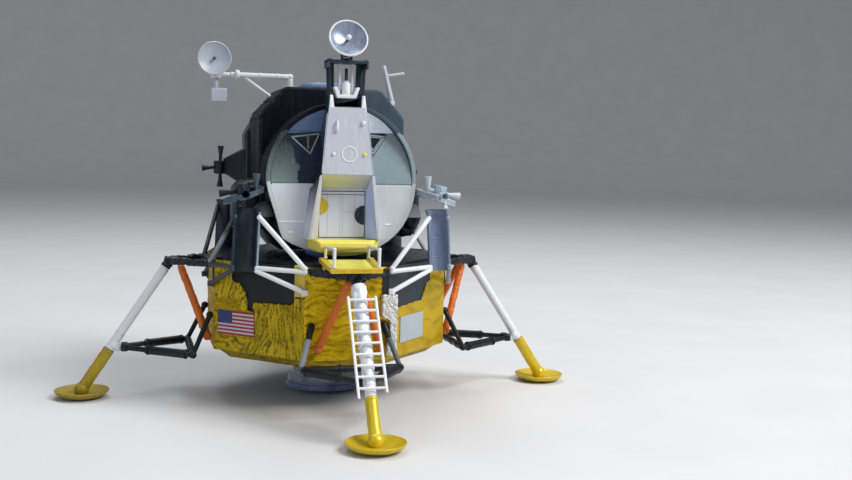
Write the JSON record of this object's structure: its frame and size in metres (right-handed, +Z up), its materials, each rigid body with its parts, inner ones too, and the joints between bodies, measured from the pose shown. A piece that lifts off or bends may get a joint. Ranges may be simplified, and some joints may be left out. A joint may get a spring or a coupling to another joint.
{
  "type": "lunar module scale model",
  "caption": "Display model of a two-stage lunar lander: gold descent stage on splayed legs with saucer pads, ladder and porch, dark crew cabin with hatch, radar dish and steerable antenna.",
  "frame": {"origin": "centre of the footprint on the ground plane, under the middle of the descent stage", "axes": "+Z up, hatch, ladder and porch face -Y, +X to the right of someone looking at the hatch"},
  "size_m": [0.1952, 0.1952, 0.135],
  "materials": {
    "slate_grey": "satin dark slate paint",
    "gold_foil": "metallic gold paint over a crinkled foil texture",
    "burnt_orange": "satin orange-red paint",
    "pale_grey": "satin pale grey paint",
    "satin_black": "satin black paint",
    "crinkled_silver": "crinkled silver foil texture",
    "white": "satin white paint",
    "smoked_pane": "gloss black, opaque"
  },
  "bodies": {
    "descent_stage": {"base_tray": "gold_foil", "brace_front": "burnt_orange", "brace_left": "burnt_orange", "brace_rear": "burnt_orange", "brace_right": "burnt_orange", "descent_body": "gold_foil", "descent_engine_bell": "slate_grey", "egress_porch": "gold_foil", "equipment_pack": "crinkled_silver", "footpad_front": "gold_foil", "footpad_left": "gold_foil", "footpad_rear": "gold_foil", "footpad_right": "gold_foil", "ladder": "white", "outrigger_front": "satin_black", "outrigger_left": "satin_black", "outrigger_rear": "satin_black", "outrigger_right": "satin_black", "plume_deflector_front_left": "slate_grey", "plume_deflector_front_right": "slate_grey", "plume_deflector_rear_left": "slate_grey", "plume_deflector_rear_right": "slate_grey", "porch_rail_left": "white", "porch_rail_right": "white", "primary_strut_front": "white", "primary_strut_left": "white", "primary_strut_rear": "white", "primary_strut_right": "white", "side_frame_front": "satin_black", "side_frame_left": "satin_black", "side_frame_rear": "satin_black", "side_frame_right": "satin_black", "upper_deck": "satin_black"},
    "ascent_stage": {"aft_equipment_bay": "slate_grey", "cabin_front": "pale_grey", "cabin_shell": "satin_black", "docking_ring": "slate_grey", "front_beam": "pale_grey", "hatch_cheek_left": "pale_grey", "hatch_cheek_right": "pale_grey", "hatch_sill": "gold_foil", "mid_section": "satin_black", "radar_stand": "slate_grey", "s_band_boom": "pale_grey", "tank_fairing_left": "satin_black", "tank_fairing_right": "satin_black", "thruster_quad_front_left": "slate_grey", "thruster_quad_front_right": "slate_grey", "thruster_quad_rear_left": "slate_grey", "thruster_quad_rear_right": "slate_grey", "vhf_antenna": "pale_grey", "window_left": "smoked_pane", "window_right": "smoked_pane"},
    "forward_hatch": {"forward_hatch": "pale_grey"},
    "radar_yoke": {"radar_neck": "slate_grey"},
    "radar_dish": {"radar_dish": "pale_grey"},
    "s_band_hub": {"s_band_hub": "pale_grey"},
    "s_band_dish": {"s_band_dish": "pale_grey"}
  },
  "joints": [
    {"name": "stage_lift", "type": "slide", "parent": "descent_stage", "child": "ascent_stage", "axis": [0, 0, 1], "range_m": [0, 0.06]},
    {"name": "hatch_hinge", "type": "hinge", "parent": "ascent_stage", "child": "forward_hatch", "pos_m": [-0.008, -0.0287, 0.06825], "axis": [0, 0, 1], "range_deg": [0, 75]},
    {"name": "radar_swivel", "type": "hinge", "parent": "ascent_stage", "child": "radar_yoke", "pos_m": [0, -0.0335, 0.1212], "axis": [0, 0, 1], "range_deg": [-90, 90]},
    {"name": "radar_tilt", "type": "hinge", "parent": "radar_yoke", "child": "radar_dish", "pos_m": [0, -0.0335, 0.1232], "axis": [1, 0, 0], "range_deg": [-60, 10]},
    {"name": "s_band_tilt", "type": "hinge", "parent": "ascent_stage", "child": "s_band_hub", "pos_m": [-0.0414, 0, 0.1172], "axis": [1, 0, 0], "range_deg": [-60, 30]},
    {"name": "s_band_swivel", "type": "hinge", "parent": "s_band_hub", "child": "s_band_dish", "pos_m": [-0.0414, 0, 0.1172], "axis": [0, 0, 1], "range_deg": [-120, 25]}
  ]
}
